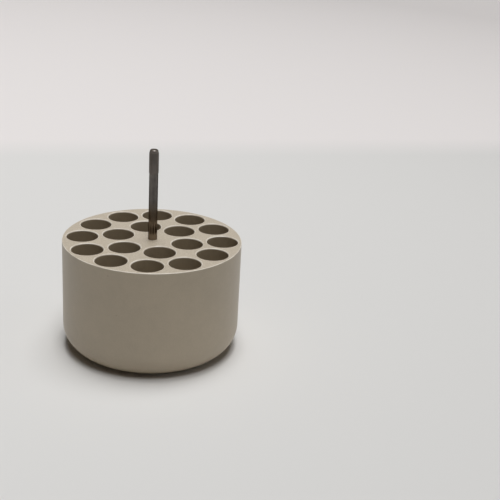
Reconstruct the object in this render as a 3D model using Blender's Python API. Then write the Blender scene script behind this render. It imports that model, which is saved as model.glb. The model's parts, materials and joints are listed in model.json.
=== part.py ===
"""Centrifuge tube adapter: a round plastic block with two rings of round-bottomed tube sockets
and a knurled steel rod standing in its middle, by which it is lifted out of the bucket.

Metres, +Z up. The origin is the centre of the flat base.
"""

import math

import bmesh
import bpy

MM = 0.001

# Tube sockets
SOCKET_DIAMETER = 16.7 * MM
SOCKET_SPACING_WALL = 2.77 * MM
SOCKET_FLOOR = 6.0 * MM
SOCKET_MOUTH_ROUND = 0.75 * MM
INNER_SOCKETS = 6

# Body
BODY_HEIGHT = 61.5 * MM
BODY_OUTER_WALL = 2.04 * MM
BASE_CORNER_RADIUS = 14.0 * MM
RIM_ROUND = 0.4 * MM

# Lifting rod
ROD_DIAMETER = 4.75 * MM
ROD_STANDS_ABOVE_BODY = 49.8 * MM
ROD_SEAT_DEPTH = 20.0 * MM
ROD_FOOT_CHAMFER = 0.5 * MM
ROD_CLEARANCE = 0.3 * MM
DRILL_POINT_ANGLE = math.radians(118.0)

# Knurled end of the rod
KNURL_LENGTH = 12.0 * MM
KNURL_PITCH = 1.3 * MM
KNURL_HEIGHT = 0.3 * MM
KNURL_CREST_RISE = 0.22 * MM
TIP_DIAMETER = 4.5 * MM
TIP_LENGTH = 1.2 * MM
TIP_CHAMFER = 0.5 * MM

# Facets of the round forms
BODY_SIDES = 96
SOCKET_SIDES = 24
ROD_SIDES = 24
CORNER_STEPS = 6
ROUND_STEPS = 2
BALL_STEPS = 4
CUT_OVERRUN = 2.0 * MM

# Worked out from the sizes above
SOCKET_RADIUS = SOCKET_DIAMETER / 2
SOCKET_PITCH = SOCKET_DIAMETER + SOCKET_SPACING_WALL
OUTER_SOCKETS = 2 * INNER_SOCKETS
OUTER_STEP = 2 * math.pi / OUTER_SOCKETS
INNER_STEP = 2 * math.pi / INNER_SOCKETS
OUTER_RING_RADIUS = SOCKET_PITCH / (2 * math.sin(OUTER_STEP / 2))
ROD_RADIUS = ROD_DIAMETER / 2
ROD_FOOT_HEIGHT = BODY_HEIGHT - ROD_SEAT_DEPTH
BODY_RADIUS = OUTER_RING_RADIUS + SOCKET_RADIUS + BODY_OUTER_WALL


def nested_ring_radius():
    """Radius at which an inner socket lies between two outer ones, one pitch from each."""
    along = OUTER_RING_RADIUS * math.cos(OUTER_STEP / 2)
    across = OUTER_RING_RADIUS * math.sin(OUTER_STEP / 2)
    return along - math.sqrt(SOCKET_PITCH ** 2 - across ** 2)


def clear_scene():
    """Remove the scene's objects."""
    for thing in list(bpy.data.objects):
        bpy.data.objects.remove(thing, do_unlink=True)


def body_plastic():
    """Satin taupe-grey moulding plastic."""
    material = bpy.data.materials.new("body_plastic")
    material.use_nodes = True
    shader = material.node_tree.nodes["Principled BSDF"]
    shader.inputs["Base Color"].default_value = (0.50, 0.44, 0.35, 1.0)
    shader.inputs["Roughness"].default_value = 0.55
    shader.inputs["Metallic"].default_value = 0.0
    return material


def rod_steel():
    """Dull turned steel."""
    material = bpy.data.materials.new("rod_steel")
    material.use_nodes = True
    shader = material.node_tree.nodes["Principled BSDF"]
    shader.inputs["Base Color"].default_value = (0.20, 0.19, 0.18, 1.0)
    shader.inputs["Roughness"].default_value = 0.35
    shader.inputs["Metallic"].default_value = 1.0
    return material


def arc(centre_r, centre_z, radius, start, end, steps):
    """Profile points (r, z) along an arc, both ends included; angles are in radians from +r."""
    points = []
    for step in range(steps + 1):
        angle = start + (end - start) * step / steps
        points.append((centre_r + radius * math.cos(angle), centre_z + radius * math.sin(angle)))
    return points


def spin_profile(bm, profile, sides, centre=(0.0, 0.0)):
    """Turn an (r, z) profile, listed from bottom to top, around a vertical axis and close its ends."""
    x, y = centre
    verts = [bm.verts.new((x + r, y, z)) for r, z in profile]
    edges = [bm.edges.new(pair) for pair in zip(verts, verts[1:])]
    turned = bmesh.ops.spin(
        bm, geom=verts + edges, cent=(x, y, 0.0), axis=(0.0, 0.0, 1.0),
        angle=2 * math.pi, steps=sides, use_merge=True, use_duplicate=False,
    )
    return turned


def finish_mesh(bm, name):
    """Weld the seams and poles, close flat ends and turn the faces outwards."""
    bmesh.ops.remove_doubles(bm, verts=bm.verts[:], dist=1e-7)
    open_edges = [edge for edge in bm.edges if edge.is_boundary]
    if open_edges:
        bmesh.ops.holes_fill(bm, edges=open_edges, sides=0)
    bmesh.ops.recalc_face_normals(bm, faces=bm.faces[:])
    mesh = bpy.data.meshes.new(name)
    bm.to_mesh(mesh)
    bm.free()
    mesh.shade_smooth()
    mesh.set_sharp_from_angle(angle=math.radians(35.0))
    return mesh


def add_object(name, mesh, material=None):
    """Link a new object for a mesh."""
    if material is not None:
        mesh.materials.append(material)
    thing = bpy.data.objects.new(name, mesh)
    bpy.context.scene.collection.objects.link(thing)
    return thing


def cut_away(thing, cutter):
    """Cut a hidden tool body out of an object."""
    cutter.hide_render = True
    cutter.display_type = "WIRE"
    cutter.parent = thing
    cut = thing.modifiers.new(cutter.name, "BOOLEAN")
    cut.operation = "DIFFERENCE"
    cut.solver = "EXACT"
    cut.object = cutter


def body_profile():
    """Flat base, rounded base corner, straight wall and broken rim."""
    corner = min(BASE_CORNER_RADIUS, SOCKET_FLOOR + SOCKET_RADIUS)
    profile = arc(BODY_RADIUS - corner, corner, corner, -math.pi / 2, 0.0, CORNER_STEPS)
    profile += arc(BODY_RADIUS - RIM_ROUND, BODY_HEIGHT - RIM_ROUND, RIM_ROUND,
                   0.0, math.pi / 2, ROUND_STEPS)
    return profile


def socket_profile():
    """Ball end, straight wall and rounded mouth, run out above the body's face."""
    ball_height = SOCKET_FLOOR + SOCKET_RADIUS
    profile = arc(0.0, ball_height, SOCKET_RADIUS, -math.pi / 2, 0.0, BALL_STEPS)
    mouth_radius = SOCKET_RADIUS + SOCKET_MOUTH_ROUND
    mouth_height = BODY_HEIGHT - SOCKET_MOUTH_ROUND
    profile += arc(mouth_radius, mouth_height, SOCKET_MOUTH_ROUND,
                   math.pi, math.pi / 2, ROUND_STEPS)
    profile.append((mouth_radius, BODY_HEIGHT + CUT_OVERRUN))
    return profile


def socket_centres():
    """Plan positions of every socket: an outer ring, and an inner one nested between its pairs."""
    inner_radius = nested_ring_radius()
    inner_turn = OUTER_STEP * 1.5
    centres = []
    for index in range(OUTER_SOCKETS):
        angle = index * OUTER_STEP
        centres.append((OUTER_RING_RADIUS * math.cos(angle), OUTER_RING_RADIUS * math.sin(angle)))
    for index in range(INNER_SOCKETS):
        angle = inner_turn + index * INNER_STEP
        centres.append((inner_radius * math.cos(angle), inner_radius * math.sin(angle)))
    return centres


def socket_cutters():
    """One tool body for each socket, in one mesh."""
    bm = bmesh.new()
    for centre in socket_centres():
        spin_profile(bm, socket_profile(), SOCKET_SIDES, centre)
    return add_object("socket_cutters", finish_mesh(bm, "socket_cutters"))


def rod_seat_cutter():
    """Blind drilled hole that the rod is pressed into."""
    seat_radius = ROD_RADIUS + ROD_CLEARANCE
    seat_floor = ROD_FOOT_HEIGHT - ROD_CLEARANCE
    point_depth = seat_radius / math.tan(DRILL_POINT_ANGLE / 2)
    profile = [
        (0.0, seat_floor - point_depth),
        (seat_radius, seat_floor),
        (seat_radius, BODY_HEIGHT + CUT_OVERRUN),
    ]
    bm = bmesh.new()
    spin_profile(bm, profile, ROD_SIDES)
    return add_object("rod_seat_cutter", finish_mesh(bm, "rod_seat_cutter"))


def adapter_body():
    """The block: one turned solid with its sockets and the rod's seat cut from the top."""
    bm = bmesh.new()
    spin_profile(bm, body_profile(), BODY_SIDES)
    body = add_object("adapter_body", finish_mesh(bm, "adapter_body"), body_plastic())
    cut_away(body, socket_cutters())
    cut_away(body, rod_seat_cutter())
    shading = body.modifiers.new("flat_face_shading", "WEIGHTED_NORMAL")
    shading.keep_sharp = True
    return body


def add_ring(bm, radii, height):
    """A closed ring of vertices with one radius for each."""
    ring = []
    for index, radius in enumerate(radii):
        angle = 2 * math.pi * index / len(radii)
        ring.append(bm.verts.new((radius * math.cos(angle), radius * math.sin(angle), height)))
    return ring


def join_rings(bm, lower, upper):
    """Plain quads between two rings."""
    count = len(lower)
    for index in range(count):
        after = (index + 1) % count
        bm.faces.new((lower[index], lower[after], upper[after], upper[index]))


def join_knurl_rings(bm, lower, upper, row):
    """Triangles between two knurl rows, folded along the grooves, which join the low points."""
    count = len(lower)
    for index in range(count):
        after = (index + 1) % count
        corners = (lower[index], lower[after], upper[after], upper[index])
        if (index + row) % 2 == 0:
            bm.faces.new((corners[0], corners[1], corners[2]))
            bm.faces.new((corners[0], corners[2], corners[3]))
        else:
            bm.faces.new((corners[0], corners[1], corners[3]))
            bm.faces.new((corners[1], corners[2], corners[3]))


def knurl_rings(bm, bottom):
    """Rows of a diamond knurl: points alternate between groove and crest, half a step on each row."""
    crest = ROD_RADIUS + KNURL_CREST_RISE
    groove = crest - KNURL_HEIGHT
    rows = 2 * max(2, round(KNURL_LENGTH / KNURL_PITCH))
    rings = []
    for row in range(rows + 1):
        at_end = row in (0, rows)
        radii = []
        for index in range(ROD_SIDES):
            low = at_end or (index + row) % 2 == 0
            radii.append(groove if low else crest)
        rings.append(add_ring(bm, radii, bottom + KNURL_LENGTH * row / rows))
    return rings


def lifting_rod():
    """Steel rod: chamfered foot in the body, plain shank, diamond knurl and a plain turned tip."""
    seated = ROD_SEAT_DEPTH
    total = seated + ROD_STANDS_ABOVE_BODY
    tip_radius = TIP_DIAMETER / 2
    knurl_bottom = total - TIP_LENGTH - KNURL_LENGTH
    bm = bmesh.new()
    plain = [
        add_ring(bm, [ROD_RADIUS - ROD_FOOT_CHAMFER] * ROD_SIDES, 0.0),
        add_ring(bm, [ROD_RADIUS] * ROD_SIDES, ROD_FOOT_CHAMFER),
        add_ring(bm, [ROD_RADIUS] * ROD_SIDES, knurl_bottom - KNURL_HEIGHT),
    ]
    knurl = knurl_rings(bm, knurl_bottom)
    tip = [
        add_ring(bm, [tip_radius] * ROD_SIDES, total - TIP_CHAMFER),
        add_ring(bm, [tip_radius - TIP_CHAMFER] * ROD_SIDES, total),
    ]
    for lower, upper in zip(plain, plain[1:]):
        join_rings(bm, lower, upper)
    join_rings(bm, plain[-1], knurl[0])
    for row, (lower, upper) in enumerate(zip(knurl, knurl[1:])):
        join_knurl_rings(bm, lower, upper, row)
    join_rings(bm, knurl[-1], tip[0])
    join_rings(bm, tip[0], tip[1])
    rod = add_object("lifting_rod", finish_mesh(bm, "lifting_rod"), rod_steel())
    rod.location = (0.0, 0.0, ROD_FOOT_HEIGHT)
    return rod


def main():
    """Build the adapter."""
    clear_scene()
    body = adapter_body()
    rod = lifting_rod()
    rod.parent = body


main()
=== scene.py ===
"""Finish of a centrifuge tube adapter: a drilled block of taupe plastic and its knurled steel rod.

Laid out as an add-on and run as a script. Lengths are in metres, +Z is up, and the origin is the
centre of the block's flat base.
"""

import json
import math

import bmesh
import bpy
from mathutils import Matrix, Vector


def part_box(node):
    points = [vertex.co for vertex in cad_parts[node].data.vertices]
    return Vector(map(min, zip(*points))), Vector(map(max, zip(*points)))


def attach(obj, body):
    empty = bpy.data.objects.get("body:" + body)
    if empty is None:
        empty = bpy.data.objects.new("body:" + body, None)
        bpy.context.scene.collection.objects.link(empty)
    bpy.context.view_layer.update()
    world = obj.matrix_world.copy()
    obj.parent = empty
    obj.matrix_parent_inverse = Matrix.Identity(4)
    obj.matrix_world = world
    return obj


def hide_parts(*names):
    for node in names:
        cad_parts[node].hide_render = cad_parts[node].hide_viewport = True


bl_info = {
    "name": "Tube Adapter Finish",
    "version": (1, 0, 0),
    "blender": (4, 5, 0),
    "location": "3D View > Sidebar > Tube Adapter",
    "description": "Models and finishes the drilled block and knurled rod of a tube adapter",
    "category": "Object",
}

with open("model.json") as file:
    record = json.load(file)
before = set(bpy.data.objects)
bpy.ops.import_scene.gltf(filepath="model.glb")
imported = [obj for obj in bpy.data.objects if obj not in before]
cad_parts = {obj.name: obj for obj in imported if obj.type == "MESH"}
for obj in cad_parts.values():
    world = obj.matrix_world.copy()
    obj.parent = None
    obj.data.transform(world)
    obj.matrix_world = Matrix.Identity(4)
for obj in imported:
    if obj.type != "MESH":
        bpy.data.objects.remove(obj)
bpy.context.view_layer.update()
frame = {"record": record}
BLOCK_LOW, BLOCK_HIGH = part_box("adapter_body")
ROD_LOW, ROD_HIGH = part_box("lifting_rod")
BLOCK_RADIUS = BLOCK_HIGH.x
BLOCK_HEIGHT = BLOCK_HIGH.z
MM = 0.001

# Facets of the finished meshes
BLOCK_SIDES = 240
SOCKET_SIDES = 96
SEAT_SIDES = 48
CORNER_STEPS = 20
RIM_STEPS = 6
MOUTH_STEPS = 8
BALL_STEPS = 18
TIP_STEPS = 6
KNURL_FACETS = 6

# Small features that the sizes below don't give
HOLDING_RING = 0.06 * MM      # a ring beside the knurl, which keeps a plain stretch evenly shaded
SEAT_MOUTH_ROUND = 0.12 * MM
SEAT_POINT = 0.6              # depth of the seat's drilled end, as a share of its radius
KNURL_FLANK = 0.72            # share of a half step that rises from groove to crest
KNURL_WEAR = 0.32             # how bright the crests are rubbed
TIP_NECK = 0.10 * MM          # run-out between the knurl and the tip
SHARP_EDGE = math.radians(28.0)

# Fineness of each pattern, in features a metre
CLOUDS = 28.0
MOTTLING = 170.0
GRAIN = 1500.0
PEPPERING = 1600.0
SPECKS = 210.0
WANDER = 60.0
STREAKS = 950.0
STAINS = 160.0
FINE_SCRATCHES = 5200.0
CLOTH = 400.0

# Lengths within the finishes
TOOL_FEED = 0.42 * MM         # spacing of the turning marks
# The next two fade the painted reflections of the block on the shank
BROWN_REFLECTION_FADE = 7.0 * MM
PALE_REFLECTION_FADE = 4.5 * MM

# Stage
FLOOR_HALF = 4.0
EDGE_BLUR = 28 * MM
# Least shares of the painted pools of light on the table and the backdrop
LEAST_TABLE_LIGHT = 0.80
LEAST_BACKDROP_LIGHT = 0.69
SENSOR_WIDTH = 36.0

# Soft lamps: name, azimuth from the front towards the right, elevation, share, apparent width
LAMPS = (
    ("overhead", 0.0, 90.0, 0.268, 14.0),
    ("front_high", 10.0, 69.0, 0.276, 18.0),
    ("back_high", 180.0, 83.0, 0.151, 16.0),
    ("back_right", 135.0, 74.0, 0.151, 18.0),
    ("back_left", 225.0, 74.0, 0.033, 18.0),
    ("front_right", 45.0, 74.0, 0.053, 18.0),
    ("right_low", 90.0, 15.0, 0.068, 30.0),
)


def socket_axes():
    """Plan position of each socket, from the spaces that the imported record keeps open."""
    axes = []
    for opening in frame["record"]["physics"]["openings"]:
        low, high = opening["box_m"]
        axes.append(((low[0] + high[0]) / 2, (low[1] + high[1]) / 2))
    return axes


class BlockSizes(bpy.types.PropertyGroup):
    """Sizes of the drilled plastic block."""

    socket_diameter: bpy.props.FloatProperty(
        name="Socket Diameter", description="Bore of each tube socket",
        default=16.7 * MM, unit="LENGTH")
    socket_floor: bpy.props.FloatProperty(
        name="Socket Floor", description="Plastic left under a socket's round bottom",
        default=6.0 * MM, unit="LENGTH")
    mouth_round: bpy.props.FloatProperty(
        name="Mouth Rounding", description="Radius of the broken edge around a socket's mouth",
        default=0.75 * MM, unit="LENGTH")
    rim_round: bpy.props.FloatProperty(
        name="Rim Rounding", description="Radius of the broken edge around the top face",
        default=0.4 * MM, unit="LENGTH")
    base_corner: bpy.props.FloatProperty(
        name="Base Corner", description="Radius between the side and the base",
        default=14.0 * MM, unit="LENGTH")
    seat_clearance: bpy.props.FloatProperty(
        name="Seat Clearance", description="Gap around the rod where it enters the block",
        default=0.06 * MM, unit="LENGTH")


class RodSizes(bpy.types.PropertyGroup):
    """Sizes of the steel lifting rod."""

    shank_diameter: bpy.props.FloatProperty(
        name="Shank Diameter", description="Thickness of the plain shank",
        default=4.75 * MM, unit="LENGTH")
    foot_chamfer: bpy.props.FloatProperty(
        name="Foot Chamfer", description="Chamfer at the end inside the block",
        default=0.5 * MM, unit="LENGTH")
    knurl_length: bpy.props.FloatProperty(
        name="Knurl Length", description="Length of the knurled grip",
        default=12.0 * MM, unit="LENGTH")
    knurl_height: bpy.props.FloatProperty(
        name="Knurl Height", description="Depth of the knurl from crest to groove",
        default=0.3 * MM, unit="LENGTH")
    knurl_rise: bpy.props.FloatProperty(
        name="Knurl Rise", description="How far the crests stand proud of the shank",
        default=0.22 * MM, unit="LENGTH")
    knurl_columns: bpy.props.IntProperty(
        name="Knurl Columns", description="Half steps of the diamond pattern around the rod",
        default=24)
    knurl_rows: bpy.props.IntProperty(
        name="Knurl Rows", description="Half steps of the diamond pattern along the rod",
        default=18)
    tip_diameter: bpy.props.FloatProperty(
        name="Tip Diameter", description="Thickness of the plain tip above the knurl",
        default=4.5 * MM, unit="LENGTH")
    tip_length: bpy.props.FloatProperty(
        name="Tip Length", description="Length of the plain tip",
        default=1.2 * MM, unit="LENGTH")
    tip_round: bpy.props.FloatProperty(
        name="Tip Rounding", description="Radius around the end face",
        default=0.85 * MM, unit="LENGTH")
    tip_wear: bpy.props.FloatProperty(
        name="Tip Wear", description="How bright the end face is rubbed",
        default=0.6, subtype="FACTOR", min=0.0, max=1.0)


class PlasticFinish(bpy.types.PropertyGroup):
    """Satin taupe plastic."""

    colour: bpy.props.FloatVectorProperty(
        name="Colour", description="Mean colour of the plastic",
        default=(0.422, 0.354, 0.259), subtype="COLOR", size=3, min=0.0, max=1.0)
    fleck: bpy.props.FloatVectorProperty(
        name="Fleck Colour", description="Colour of the small dark specks",
        default=(0.16, 0.13, 0.10), subtype="COLOR", size=3, min=0.0, max=1.0)
    # The burnished colour is a painted highlight on the rounded rim and socket mouths; it also
    # tints the pale flecks.
    pale_fleck_and_highlight: bpy.props.FloatVectorProperty(
        name="Burnished Colour", description="Colour of edges rubbed by handling",
        default=(0.80, 0.73, 0.62), subtype="COLOR", size=3, min=0.0, max=1.0)
    # The bore colour is painted shade: the socket walls are painted darker and browner than the
    # plastic.
    socket_shade: bpy.props.FloatVectorProperty(
        name="Bore Colour", description="Colour of the unpolished socket walls",
        default=(0.370, 0.274, 0.158), subtype="COLOR", size=3, min=0.0, max=1.0)
    roughness: bpy.props.FloatProperty(
        name="Roughness", description="Mean roughness", default=0.50, subtype="FACTOR",
        min=0.0, max=1.0)


class SteelFinish(bpy.types.PropertyGroup):
    """Dull dark steel with bright rubbed crests."""

    colour: bpy.props.FloatVectorProperty(
        name="Colour", description="Colour of the dull shank",
        default=(0.114, 0.103, 0.094), subtype="COLOR", size=3, min=0.0, max=1.0)
    # The stain colour is a painted reflection of the taupe block, browner low on the shank.
    blotches_and_reflection: bpy.props.FloatVectorProperty(
        name="Stain Colour", description="Brown stain on the lower part of the shank",
        default=(0.093, 0.073, 0.054), subtype="COLOR", size=3, min=0.0, max=1.0)
    brown_reflection_reach: bpy.props.FloatProperty(
        name="Stain Reach", description="How far up the shank the brown stain goes",
        default=23.0 * MM, unit="LENGTH")
    # The foot colour is a painted reflection of the block's lit top face, paler close to the block.
    foot: bpy.props.FloatVectorProperty(
        name="Foot Colour", description="Paler brown of the shank close to the block",
        default=(0.194, 0.155, 0.116), subtype="COLOR", size=3, min=0.0, max=1.0)
    pale_reflection_reach: bpy.props.FloatProperty(
        name="Foot Reach", description="How far up the shank the paler brown goes",
        default=15.3 * MM, unit="LENGTH")
    bright: bpy.props.FloatVectorProperty(
        name="Bright Colour", description="Colour of bare, rubbed steel",
        default=(0.52, 0.50, 0.47), subtype="COLOR", size=3, min=0.0, max=1.0)
    roughness: bpy.props.FloatProperty(
        name="Roughness", description="Mean roughness", default=0.15, subtype="FACTOR",
        min=0.0, max=1.0)


class StudioSettings(bpy.types.PropertyGroup):
    """Floor, light and camera."""

    table_colour: bpy.props.FloatVectorProperty(
        name="Table Colour", description="Colour of the table top",
        default=(0.711, 0.684, 0.643), subtype="COLOR", size=3, min=0.0, max=1.0)
    # The table's middle and fade paint a pool of light on the table top.
    table_light_centre: bpy.props.FloatVectorProperty(
        name="Table Middle", description="Where the table top is palest",
        default=(-0.318, 0.229, 0.0), subtype="TRANSLATION", size=3)
    table_light_falloff: bpy.props.FloatProperty(
        name="Table Fade", description="Share of its colour that the table loses in a metre",
        default=0.304)
    backdrop_colour: bpy.props.FloatVectorProperty(
        name="Backdrop Colour", description="Colour beyond the table's far edge",
        default=(0.802, 0.748, 0.709), subtype="COLOR", size=3, min=0.0, max=1.0)
    # The backdrop's middle and fade paint a pool of light on the backdrop.
    backdrop_light_centre: bpy.props.FloatVectorProperty(
        name="Backdrop Middle", description="Where the backdrop is palest",
        default=(-0.534, 0.111, 0.0), subtype="TRANSLATION", size=3)
    backdrop_light_falloff: bpy.props.FloatProperty(
        name="Backdrop Fade", description="Share of its colour that the backdrop loses in a metre",
        default=0.127)
    table_depth: bpy.props.FloatProperty(
        name="Table Depth", description="Distance from the adapter to the table's far edge",
        default=0.385, unit="LENGTH")
    table_turn: bpy.props.FloatProperty(
        name="Table Turn", description="Turn of the table's far edge about the vertical",
        default=math.radians(9.8), subtype="ANGLE")
    light_level: bpy.props.FloatProperty(
        name="Light Level", description="Strength of all the soft lamps together", default=3.62)
    light_colour: bpy.props.FloatVectorProperty(
        name="Light Colour", description="Colour of the soft lamps",
        default=(0.930, 0.958, 1.0), subtype="COLOR", size=3, min=0.0, max=1.0)
    sky_light: bpy.props.FloatProperty(
        name="Sky Light", description="Strength of the even light from all around", default=0.0)
    camera_place: bpy.props.FloatVectorProperty(
        name="Camera Place", description="Where the camera stands",
        default=(32.42 * MM, -514.17 * MM, 261.67 * MM), subtype="TRANSLATION", size=3)
    camera_heading: bpy.props.FloatProperty(
        name="Camera Heading", description="Turn about the vertical, from looking along +Y",
        default=math.radians(-2.262), subtype="ANGLE")
    camera_pitch: bpy.props.FloatProperty(
        name="Camera Pitch", description="How far the camera looks down",
        default=math.radians(21.660), subtype="ANGLE")
    camera_roll: bpy.props.FloatProperty(
        name="Camera Roll", description="Turn about the line of sight",
        default=math.radians(3.250), subtype="ANGLE")
    camera_lens: bpy.props.FloatProperty(
        name="Lens", description="Focal length on a 36 mm sensor, in millimetres", default=73.621)


class AdapterSettings(bpy.types.PropertyGroup):
    """All the settings of the finished adapter."""

    block: bpy.props.PointerProperty(type=BlockSizes)
    rod: bpy.props.PointerProperty(type=RodSizes)
    plastic: bpy.props.PointerProperty(type=PlasticFinish)
    steel: bpy.props.PointerProperty(type=SteelFinish)
    studio: bpy.props.PointerProperty(type=StudioSettings)


class NodeSheet:
    """Short calls for laying out a material's or a world's nodes."""

    def __init__(self, owner):
        owner.use_nodes = True
        self.tree = owner.node_tree
        self.tree.nodes.clear()

    def add(self, kind, inputs=None, **settings):
        """Add a node, set its properties, and set or link its inputs."""
        node = self.tree.nodes.new(kind)
        for name, value in settings.items():
            setattr(node, name, value)
        for name, value in (inputs or {}).items():
            socket = node.inputs[name]
            if isinstance(value, bpy.types.NodeSocket):
                self.tree.links.new(value, socket)
            else:
                socket.default_value = value
        return node

    def math(self, operation, first, second=0.0, third=0.0, clamp=False):
        """A Math node's result."""
        inputs = {0: first, 1: second, 2: third}
        return self.add("ShaderNodeMath", inputs, operation=operation, use_clamp=clamp).outputs[0]

    def spread(self, value, low, high, to_low=0.0, to_high=1.0):
        """Map a value from one range to another, held at its ends."""
        inputs = {"Value": value, "From Min": low, "From Max": high,
                  "To Min": to_low, "To Max": to_high}
        return self.add("ShaderNodeMapRange", inputs, clamp=True).outputs["Result"]

    def blend(self, share, first, second):
        """A colour between two, by a share."""
        node = self.add("ShaderNodeMix", data_type="RGBA", blend_type="MIX")
        for name, value in (("Factor_Float", share), ("A_Color", first), ("B_Color", second)):
            socket = next(s for s in node.inputs if s.identifier == name)
            if isinstance(value, bpy.types.NodeSocket):
                self.tree.links.new(value, socket)
            else:
                socket.default_value = value
        return next(s for s in node.outputs if s.identifier == "Result_Color")

    def noise(self, vector, scale, detail=2.0, roughness=0.5):
        """Plain noise from 0 to 1."""
        inputs = {"Vector": vector, "Scale": scale, "Detail": detail, "Roughness": roughness}
        return self.add("ShaderNodeTexNoise", inputs).outputs["Fac"]

    def bump(self, height, distance, strength=1.0, normal=None):
        """Bump from a height, on top of another where one is given."""
        inputs = {"Height": height, "Distance": distance, "Strength": strength}
        if normal is not None:
            inputs["Normal"] = normal
        return self.add("ShaderNodeBump", inputs).outputs["Normal"]


def opaque(colour, factor=1.0):
    """A colour with full alpha, made lighter or darker by a factor."""
    return tuple(channel * factor for channel in colour) + (1.0,)


def plastic_material(finish):
    """Satin taupe plastic: mottling, fine grain, rare specks, turning marks, painted shade in the
    sockets and painted highlights on the rounded edges.
    """
    material = bpy.data.materials.new("taupe_plastic")
    sheet = NodeSheet(material)
    place = sheet.add("ShaderNodeTexCoord").outputs["Object"]
    axes = sheet.add("ShaderNodeSeparateXYZ", {"Vector": place})
    facing = sheet.add("ShaderNodeSeparateXYZ", {
        "Vector": sheet.add("ShaderNodeNewGeometry").outputs["Normal"]})
    flatness = sheet.spread(sheet.math("ABSOLUTE", facing.outputs["Z"]), 0.75, 0.95)

    clouds = sheet.noise(place, CLOUDS, 3.0)
    mottling = sheet.noise(place, MOTTLING, 4.0, 0.6)
    grain = sheet.noise(place, GRAIN, 3.0, 0.65)
    tone = sheet.math("ADD", sheet.math("MULTIPLY", clouds, 0.35),
                      sheet.math("MULTIPLY", mottling, 0.30))
    tone = sheet.math("MULTIPLY_ADD", grain, 0.35, tone)
    tone = sheet.spread(tone, 0.34, 0.66)
    colour = sheet.blend(tone, opaque(finish.colour, 0.93), opaque(finish.colour, 1.07))
    peppering = sheet.noise(place, PEPPERING, 2.0, 0.6)
    dark = sheet.math("MULTIPLY", sheet.spread(peppering, 0.36, 0.48, 0.13, 0.0), flatness)
    light = sheet.math("MULTIPLY", sheet.spread(peppering, 0.50, 0.62, 0.0, 0.15), flatness)
    colour = sheet.blend(dark, colour, opaque(finish.fleck))
    colour = sheet.blend(light, colour, opaque(finish.pale_fleck_and_highlight))

    cells = sheet.add("ShaderNodeTexVoronoi", {"Vector": place, "Scale": SPECKS})
    pick = sheet.add("ShaderNodeSeparateColor", {"Color": cells.outputs["Color"]})
    rare = sheet.math("GREATER_THAN", pick.outputs["Red"], 0.94)
    spot = sheet.spread(cells.outputs["Distance"], 0.07, 0.13, 1.0, 0.0)
    speck = sheet.math("MULTIPLY", sheet.math("MULTIPLY", spot, rare), 0.22)
    colour = sheet.blend(speck, colour, opaque(finish.fleck))

    # Painted shade: walls that face into the sockets and the rod's seat take the darker bore
    # colour, and are also rougher.
    bored = sheet.add("ShaderNodeAttribute", attribute_name="bore_wall").outputs["Fac"]
    colour = sheet.blend(sheet.math("MULTIPLY", bored, 0.6), colour, opaque(finish.socket_shade))
    # Painted highlight: the burnished colour on the rounded rim and socket mouths, patchy with the
    # mottling.
    edge_highlight = sheet.add("ShaderNodeAttribute", attribute_name="wear_and_edge_highlight").outputs["Fac"]
    rubbed_and_highlit = sheet.math("MULTIPLY", edge_highlight, sheet.spread(mottling, 0.35, 0.6, 0.5, 1.0))
    colour = sheet.blend(rubbed_and_highlit, colour, opaque(finish.pale_fleck_and_highlight))

    satin = sheet.spread(clouds, 0.3, 0.7, finish.roughness - 0.04, finish.roughness + 0.04)
    satin = sheet.math("MULTIPLY_ADD", bored, 0.2, satin)
    satin = sheet.math("MULTIPLY_ADD", sheet.math("SUBTRACT", grain, 0.5), 0.10, satin)
    satin = sheet.math("MULTIPLY_ADD", rubbed_and_highlit, -0.12, satin)

    across = sheet.math("POWER", axes.outputs["X"], 2.0)
    out_from_axis = sheet.math("SQRT", sheet.math(
        "ADD", across, sheet.math("POWER", axes.outputs["Y"], 2.0)))
    along = sheet.math("MULTIPLY", axes.outputs["Z"], sheet.math("SUBTRACT", 1.0, flatness))
    feed = sheet.math("MULTIPLY_ADD", out_from_axis, flatness, along)
    wander = sheet.math("MULTIPLY", sheet.noise(place, WANDER), 1.2)
    turning = sheet.math("MULTIPLY_ADD", feed, 2 * math.pi / TOOL_FEED, wander)
    turning = sheet.math("SINE", turning)
    normal = sheet.bump(turning, 0.0012 * MM)
    normal = sheet.bump(grain, 0.030 * MM, 1.0, normal)
    normal = sheet.bump(mottling, 0.05 * MM, 1.0, normal)

    shader = sheet.add("ShaderNodeBsdfPrincipled", {
        "Base Color": colour, "Roughness": satin, "Normal": normal,
        "Specular IOR Level": 0.5, "IOR": 1.49, "Coat Weight": 0.3, "Coat Roughness": 0.35})
    sheet.add("ShaderNodeOutputMaterial", {"Surface": shader.outputs["BSDF"]})
    return material


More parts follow.
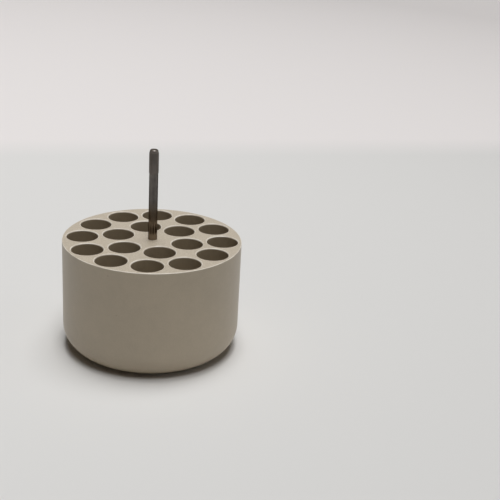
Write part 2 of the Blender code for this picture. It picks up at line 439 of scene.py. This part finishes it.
def steel_material(finish):
    """Dull dark steel, streaked along the rod, bright where the knurl and the tip are rubbed."""
    material = bpy.data.materials.new("dull_steel")
    sheet = NodeSheet(material)
    place = sheet.add("ShaderNodeTexCoord").outputs["Object"]
    drawn = sheet.add("ShaderNodeMapping", {
        "Vector": place, "Scale": (1.0, 1.0, 0.06)}).outputs[0]
    streaks = sheet.noise(drawn, STREAKS, 4.0, 0.65)
    # Random blotches that vary the steel's tone and its rubbed crests
    blotches_and_reflection = sheet.noise(place, STAINS, 3.0, 0.6)
    fine = sheet.noise(place, FINE_SCRATCHES, 2.0)
    tone = sheet.math("MULTIPLY_ADD", streaks, 0.6, sheet.math("MULTIPLY", blotches_and_reflection, 0.4))
    tone = sheet.spread(tone, 0.36, 0.64)
    colour = sheet.blend(tone, opaque(finish.colour, 0.62), opaque(finish.colour, 1.38))
    height = sheet.add("ShaderNodeSeparateXYZ", {"Vector": place}).outputs["Z"]
    # Painted reflections of the block: browner low on the shank, and paler brown close to its lit
    # top face.
    for tone, reach, fade in ((finish.blotches_and_reflection, finish.brown_reflection_reach, BROWN_REFLECTION_FADE),
                              (finish.foot, finish.pale_reflection_reach, PALE_REFLECTION_FADE)):
        end = BLOCK_HEIGHT + reach
        colour = sheet.blend(sheet.spread(height, end - fade, end, 1.0, 0.0), colour, opaque(tone))
    crest = sheet.add("ShaderNodeAttribute", attribute_name="wear_and_edge_highlight").outputs["Fac"]
    rubbed_and_highlit = sheet.math("MULTIPLY", crest, sheet.spread(blotches_and_reflection, 0.35, 0.6, 0.55, 1.0))
    colour = sheet.blend(rubbed_and_highlit, colour, opaque(finish.bright))
    dull = sheet.spread(streaks, 0.3, 0.7, finish.roughness - 0.05, finish.roughness + 0.07)
    dull = sheet.math("MULTIPLY_ADD", crest, 0.12, dull)
    normal = sheet.bump(streaks, 0.004 * MM)
    normal = sheet.bump(fine, 0.0015 * MM, 1.0, normal)
    shader = sheet.add("ShaderNodeBsdfPrincipled", {
        "Base Color": colour, "Roughness": dull, "Normal": normal, "Metallic": 1.0,
        "Specular Tint": (0.15, 0.14, 0.13, 1.0)})
    sheet.add("ShaderNodeOutputMaterial", {"Surface": shader.outputs["BSDF"]})
    return material


def painted_light_pool(sheet, place, colour, middle, fade, least):
    """A painted pool of light: a colour that falls off slowly with the distance from a point, down
    to a least share.
    """
    away = sheet.add("ShaderNodeVectorMath", {0: place, 1: tuple(middle)}, operation="DISTANCE")
    squared = sheet.math("POWER", away.outputs["Value"], 2.0)
    level = sheet.math("MULTIPLY_ADD", squared, -fade, 1.0)
    level = sheet.math("MAXIMUM", level, least)
    return sheet.blend(level, (0.0, 0.0, 0.0, 1.0), opaque(colour))


def floor_material(studio):
    """Matte pale table top that gives way to a warmer backdrop behind its far edge, each with a
    painted pool of light.
    """
    material = bpy.data.materials.new("pale_floor")
    sheet = NodeSheet(material)
    place = sheet.add("ShaderNodeTexCoord").outputs["Object"]
    towards_edge = (-math.sin(studio.table_turn), math.cos(studio.table_turn), 0.0)
    depth = sheet.add("ShaderNodeVectorMath", {0: place, 1: towards_edge},
                      operation="DOT_PRODUCT")
    beyond = sheet.spread(depth.outputs["Value"], studio.table_depth - EDGE_BLUR,
                          studio.table_depth + EDGE_BLUR)
    # Painted pools of light on the table and the backdrop, brightest at their middles.
    table = painted_light_pool(sheet, place, studio.table_colour, studio.table_light_centre,
                  studio.table_light_falloff, LEAST_TABLE_LIGHT)
    backdrop = painted_light_pool(sheet, place, studio.backdrop_colour, studio.backdrop_light_centre,
                     studio.backdrop_light_falloff, LEAST_BACKDROP_LIGHT)
    colour = sheet.blend(beyond, table, backdrop)
    cloth = sheet.noise(place, CLOTH, 2.0)
    shader = sheet.add("ShaderNodeBsdfPrincipled", {
        "Base Color": colour, "Roughness": 0.75, "Specular IOR Level": 0.15,
        "Normal": sheet.bump(cloth, 0.02 * MM)})
    sheet.add("ShaderNodeOutputMaterial", {"Surface": shader.outputs["BSDF"]})
    return material


class TurnedMesh:
    """A closed mesh made of rings, which keeps each vertex's true normal, its wear and painted
    highlight, and its share of hole wall.
    """

    def __init__(self):
        self.bm = bmesh.new()
        self.normals = []
        self.wear_and_highlight = []
        self.bored = []

    def ring(self, centre, sides, station):
        """One ring; a station is radius, height, the normal's two parts, and the weight of wear and
        painted highlight.
        """
        radius, height, normal_out, normal_up, wear_and_highlight = station
        ring = []
        for index in range(sides):
            turn = 2 * math.pi * index / sides
            cosine, sine = math.cos(turn), math.sin(turn)
            ring.append(self.bm.verts.new(
                (centre[0] + radius * cosine, centre[1] + radius * sine, height)))
            self.normals.append((normal_out * cosine, normal_out * sine, normal_up))
            self.wear_and_highlight.append(wear_and_highlight)
            # Walls that face inwards are marked for the painted shade and the higher roughness.
            self.bored.append(max(0.0, min(1.0, -2.0 * normal_out)))
        return ring

    def point(self, place, normal, wear_and_highlight=0.0):
        """One vertex, for a pole."""
        self.normals.append(normal)
        self.wear_and_highlight.append(wear_and_highlight)
        self.bored.append(0.0)
        return self.bm.verts.new(place)

    def skin(self, first, second):
        """Quads between two rings."""
        count = len(first)
        for index in range(count):
            after = (index + 1) % count
            self.bm.faces.new((first[index], first[after], second[after], second[index]))

    def fan(self, ring, pole):
        """Triangles from a ring to a pole."""
        for index, vert in enumerate(ring):
            self.bm.faces.new((vert, ring[(index + 1) % len(ring)], pole))

    def lathe(self, centre, sides, stations):
        """Rings at the given stations, skinned in order; returns the first and the last."""
        rings = [self.ring(centre, sides, station) for station in stations]
        for first, second in zip(rings, rings[1:]):
            self.skin(first, second)
        return rings[0], rings[-1]

    def to_object(self, name, true_normals):
        """Close the bmesh into an object with smooth shading."""
        bmesh.ops.recalc_face_normals(self.bm, faces=self.bm.faces[:])
        mesh = bpy.data.meshes.new(name)
        self.bm.to_mesh(mesh)
        self.bm.free()
        mesh.shade_smooth()
        if true_normals:
            mesh.normals_split_custom_set_from_vertices(self.normals)
        else:
            mesh.set_sharp_from_angle(angle=SHARP_EDGE)
        for layer, values in (("wear_and_edge_highlight", self.wear_and_highlight), ("bore_wall", self.bored)):
            mesh.attributes.new(layer, "FLOAT", "POINT").data.foreach_set("value", values)
        thing = bpy.data.objects.new(name, mesh)
        bpy.context.scene.collection.objects.link(thing)
        return thing


def round_stations(centre_out, centre_up, radius, start, end, steps, inside=False, edge_highlight=0.0):
    """Stations along an arc, with the painted highlight strongest in its middle. Angles run from
    outwards towards up.
    """
    side = -1.0 if inside else 1.0
    stations = []
    for step in range(steps + 1):
        angle = start + (end - start) * step / steps
        out, up = math.cos(angle), math.sin(angle)
        wear_and_highlight = edge_highlight * math.sin(math.pi * step / steps)
        stations.append((centre_out + radius * out, centre_up + radius * up,
                         side * out, side * up, wear_and_highlight))
    return stations


def block_outline(sizes):
    """The block's outside from the top face's edge down to the base."""
    rim, corner = sizes.rim_round, sizes.base_corner
    # The rounded rim carries the full painted highlight.
    stations = round_stations(BLOCK_RADIUS - rim, BLOCK_HEIGHT - rim, rim,
                              math.pi / 2, 0.0, RIM_STEPS, edge_highlight=1.0)
    stations += round_stations(BLOCK_RADIUS - corner, corner, corner,
                               0.0, -math.pi / 2, CORNER_STEPS)
    return stations


def mouth_stations(radius, rounding, edge_highlight):
    """A hole's rounded mouth, from the top face to its wall, with a painted highlight of the given
    weight.
    """
    return round_stations(radius + rounding, BLOCK_HEIGHT - rounding, rounding,
                          math.pi / 2, math.pi, MOUTH_STEPS, edge_highlight=edge_highlight)


def add_socket(turned, axis, sizes):
    """One round-bottomed socket; returns its mouth ring."""
    radius = sizes.socket_diameter / 2
    ball_height = sizes.socket_floor + radius
    ball = round_stations(0.0, ball_height, radius, 0.0, -math.pi / 2, BALL_STEPS, inside=True)
    # The socket's mouth carries the full painted highlight.
    stations = mouth_stations(radius, sizes.mouth_round, 1.0) + ball[:-1]
    mouth, lowest = turned.lathe(axis, SOCKET_SIDES, stations)
    pole = turned.point((axis[0], axis[1], sizes.socket_floor), (0.0, 0.0, 1.0))
    turned.fan(lowest, pole)
    return mouth


def add_rod_seat(turned, sizes, rod):
    """The blind hole that holds the rod's foot; returns its mouth ring."""
    radius = rod.shank_diameter / 2 + sizes.seat_clearance
    floor = ROD_LOW.z - sizes.seat_clearance
    stations = mouth_stations(radius, SEAT_MOUTH_ROUND, 0.0)
    stations.append((radius, floor, -1.0, 0.0, 0.0))
    mouth, lowest = turned.lathe((0.0, 0.0), SEAT_SIDES, stations)
    pole = turned.point((0.0, 0.0, floor - radius * SEAT_POINT), (0.0, 0.0, 1.0))
    turned.fan(lowest, pole)
    return mouth


def ring_edges(ring):
    """The edges that run around a ring."""
    edges = []
    for index, vert in enumerate(ring):
        after = ring[(index + 1) % len(ring)]
        edges.append(next(edge for edge in vert.link_edges if edge.other_vert(vert) == after))
    return edges


class ADAPTER_OT_drilled_block(bpy.types.Operator):
    """Turn the plastic block, with its sockets and the rod's seat sunk in the top face"""

    bl_idname = "tube_adapter.drilled_block"
    bl_label = "Drilled Block"

    def execute(self, context):
        settings = context.scene.tube_adapter
        sizes = settings.block
        turned = TurnedMesh()
        top, base = turned.lathe((0.0, 0.0), BLOCK_SIDES, block_outline(sizes))
        turned.bm.faces.new(base)
        mouths = [add_socket(turned, axis, sizes) for axis in socket_axes()]
        mouths.append(add_rod_seat(turned, sizes, settings.rod))
        boundary = ring_edges(top)
        for mouth in mouths:
            boundary += ring_edges(mouth)
        bmesh.ops.triangle_fill(turned.bm, edges=boundary, use_beauty=True)
        block = turned.to_object("drilled_block", true_normals=True)
        block.data.materials.append(plastic_material(settings.plastic))
        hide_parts("adapter_body")
        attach(block, "root")
        return {"FINISHED"}


def knurl_height(column, row, rows):
    """Height of the diamond knurl, from 0 in a groove to 1 on a crest, in half steps."""
    ridges = []
    for count in (column + row, column - row):
        ridges.append(1.0 - abs((count % 2.0) - 1.0))
    height = min(min(ridges) / KNURL_FLANK, 1.0)
    run_out = min(row, rows - row, 1.0)
    return height * run_out


def add_knurl(turned, rod, bottom):
    """The knurled grip; returns its first and last rings."""
    crest = rod.shank_diameter / 2 + rod.knurl_rise
    groove = crest - rod.knurl_height
    sides = rod.knurl_columns * KNURL_FACETS
    steps = rod.knurl_rows * KNURL_FACETS
    rings = []
    for step in range(steps + 1):
        row = step / KNURL_FACETS
        height_up = bottom + rod.knurl_length * step / steps
        ring = []
        for index in range(sides):
            turn = 2 * math.pi * index / sides
            raised = knurl_height(index / KNURL_FACETS, row, rod.knurl_rows)
            radius = groove + rod.knurl_height * raised
            outwards = (math.cos(turn), math.sin(turn), 0.0)
            ring.append(turned.point(
                (radius * outwards[0], radius * outwards[1], height_up), outwards,
                max(0.0, raised * 2.0 - 1.0) * KNURL_WEAR))
        rings.append(ring)
    for first, second in zip(rings, rings[1:]):
        turned.skin(first, second)
    return rings[0], rings[-1]


class ADAPTER_OT_knurled_rod(bpy.types.Operator):
    """Turn the steel rod, with its diamond knurl and plain tip"""

    bl_idname = "tube_adapter.knurled_rod"
    bl_label = "Knurled Rod"

    def execute(self, context):
        settings = context.scene.tube_adapter
        rod = settings.rod
        sides = rod.knurl_columns * KNURL_FACETS
        shank, tip = rod.shank_diameter / 2, rod.tip_diameter / 2
        foot, top = ROD_LOW.z, ROD_HIGH.z
        knurl_foot = top - rod.tip_length - rod.knurl_length
        turned = TurnedMesh()
        run_in = knurl_foot - rod.knurl_height
        lowest, below_knurl = turned.lathe((0.0, 0.0), sides, [
            (shank - rod.foot_chamfer, foot, 1.0, 0.0, 0.0),
            (shank, foot + rod.foot_chamfer, 1.0, 0.0, 0.0),
            (shank, BLOCK_HEIGHT, 1.0, 0.0, 0.0),
            (shank, run_in - HOLDING_RING, 1.0, 0.0, 0.0),
            (shank, run_in, 1.0, 0.0, 0.0),
        ])
        knurl_low, knurl_high = add_knurl(turned, rod, knurl_foot)
        end_round = rod.tip_round
        rounded = round_stations(tip - end_round, top - end_round, end_round,
                                 0.0, math.pi / 2, TIP_STEPS)
        rounded[-1] = rounded[-1][:4] + (rod.tip_wear,)
        run_out = top - rod.tip_length + TIP_NECK
        tip_low, tip_high = turned.lathe((0.0, 0.0), sides, [
            (tip, run_out, 1.0, 0.0, 0.0),
            (tip, run_out + HOLDING_RING, 1.0, 0.0, 0.0)] + rounded)
        turned.skin(below_knurl, knurl_low)
        turned.skin(knurl_high, tip_low)
        turned.bm.faces.new(lowest)
        turned.bm.faces.new(tip_high)
        piece = turned.to_object("knurled_rod", true_normals=False)
        piece.data.materials.append(steel_material(settings.steel))
        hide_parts("lifting_rod")
        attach(piece, "root")
        return {"FINISHED"}


def add_floor(studio):
    """A wide table top at the height of the adapter's base."""
    half = FLOOR_HALF
    mesh = bpy.data.meshes.new("floor")
    corners = [(-half, -half, 0.0), (half, -half, 0.0), (half, half, 0.0), (-half, half, 0.0)]
    mesh.from_pydata(corners, [], [(0, 1, 2, 3)])
    mesh.materials.append(floor_material(studio))
    floor = bpy.data.objects.new("floor", mesh)
    bpy.context.scene.collection.objects.link(floor)


def add_far_lamp(name, azimuth, elevation, strength, width, colour):
    """A soft lamp so far away that it lights everything alike."""
    lamp = bpy.data.lights.new(name, "SUN")
    lamp.energy = strength
    lamp.angle = width
    lamp.color = colour
    thing = bpy.data.objects.new(name, lamp)
    towards = Vector((math.sin(azimuth) * math.cos(elevation),
                      -math.cos(azimuth) * math.cos(elevation), math.sin(elevation)))
    thing.rotation_euler = towards.to_track_quat("Z", "Y").to_euler()
    thing.location = towards
    bpy.context.scene.collection.objects.link(thing)


def add_sky(studio):
    """Weak even light from all around, and the pale backdrop behind everything."""
    world = bpy.data.worlds.new("studio_sky")
    bpy.context.scene.world = world
    sheet = NodeSheet(world)
    light = sheet.add("ShaderNodeBackground", {
        "Color": (1.0, 1.0, 1.0, 1.0), "Strength": studio.sky_light})
    backdrop = sheet.add("ShaderNodeBackground", {
        "Color": opaque(studio.backdrop_colour), "Strength": 1.0})
    rays = sheet.add("ShaderNodeLightPath")
    seen = sheet.math("MAXIMUM", rays.outputs["Is Camera Ray"], rays.outputs["Is Glossy Ray"])
    seen = sheet.math("MAXIMUM", seen, rays.outputs["Is Transmission Ray"])
    both = sheet.add("ShaderNodeMixShader", {
        0: seen, 1: light.outputs[0], 2: backdrop.outputs[0]})
    sheet.add("ShaderNodeOutputWorld", {"Surface": both.outputs[0]})


def add_camera(studio):
    """The photograph's view."""
    lens = bpy.data.cameras.new("camera")
    lens.sensor_width = SENSOR_WIDTH
    lens.lens = studio.camera_lens
    camera = bpy.data.objects.new("camera", lens)
    turn = (Matrix.Rotation(studio.camera_heading, 4, "Z")
            @ Matrix.Rotation(math.pi / 2 - studio.camera_pitch, 4, "X")
            @ Matrix.Rotation(studio.camera_roll, 4, "Z"))
    camera.matrix_world = Matrix.Translation(studio.camera_place) @ turn
    bpy.context.scene.collection.objects.link(camera)
    bpy.context.scene.camera = camera


class ADAPTER_OT_stage(bpy.types.Operator):
    """Lay the pale floor, hang the soft lamps and set up the camera"""

    bl_idname = "tube_adapter.stage"
    bl_label = "Stage"

    def execute(self, context):
        studio = context.scene.tube_adapter.studio
        add_floor(studio)
        for name, azimuth, elevation, share, width in LAMPS:
            add_far_lamp(name, math.radians(azimuth), math.radians(elevation),
                         share * studio.light_level, math.radians(width), studio.light_colour)
        add_sky(studio)
        add_camera(studio)
        context.scene.view_settings.view_transform = "Standard"
        return {"FINISHED"}


class ADAPTER_PT_panel(bpy.types.Panel):
    """Lists the adapter's pieces and its stage"""

    bl_label = "Tube Adapter"
    bl_idname = "ADAPTER_PT_panel"
    bl_space_type = "VIEW_3D"
    bl_region_type = "UI"
    bl_category = "Tube Adapter"

    def draw(self, context):
        layout = self.layout
        settings = context.scene.tube_adapter
        for title, groups, operator in (
            ("Block", (settings.block, settings.plastic), ADAPTER_OT_drilled_block),
            ("Rod", (settings.rod, settings.steel), ADAPTER_OT_knurled_rod),
            ("Stage", (settings.studio,), ADAPTER_OT_stage),
        ):
            box = layout.box()
            box.label(text=title)
            for group in groups:
                for name in group.__annotations__:
                    box.prop(group, name)
            box.operator(operator.bl_idname)


CLASSES = (
    BlockSizes,
    RodSizes,
    PlasticFinish,
    SteelFinish,
    StudioSettings,
    AdapterSettings,
    ADAPTER_OT_drilled_block,
    ADAPTER_OT_knurled_rod,
    ADAPTER_OT_stage,
    ADAPTER_PT_panel,
)


def register():
    """Register the classes and hang the settings on the scene."""
    for cls in CLASSES:
        bpy.utils.register_class(cls)
    bpy.types.Scene.tube_adapter = bpy.props.PointerProperty(type=AdapterSettings)


def unregister():
    """Take the settings and the classes away again."""
    del bpy.types.Scene.tube_adapter
    for cls in reversed(CLASSES):
        bpy.utils.unregister_class(cls)


def main():
    """Build the finished adapter on its stage."""
    register()
    bpy.ops.tube_adapter.drilled_block()
    bpy.ops.tube_adapter.knurled_rod()
    bpy.ops.tube_adapter.stage()
    bpy.context.view_layer.update()


if __name__ == "__main__":
    main()
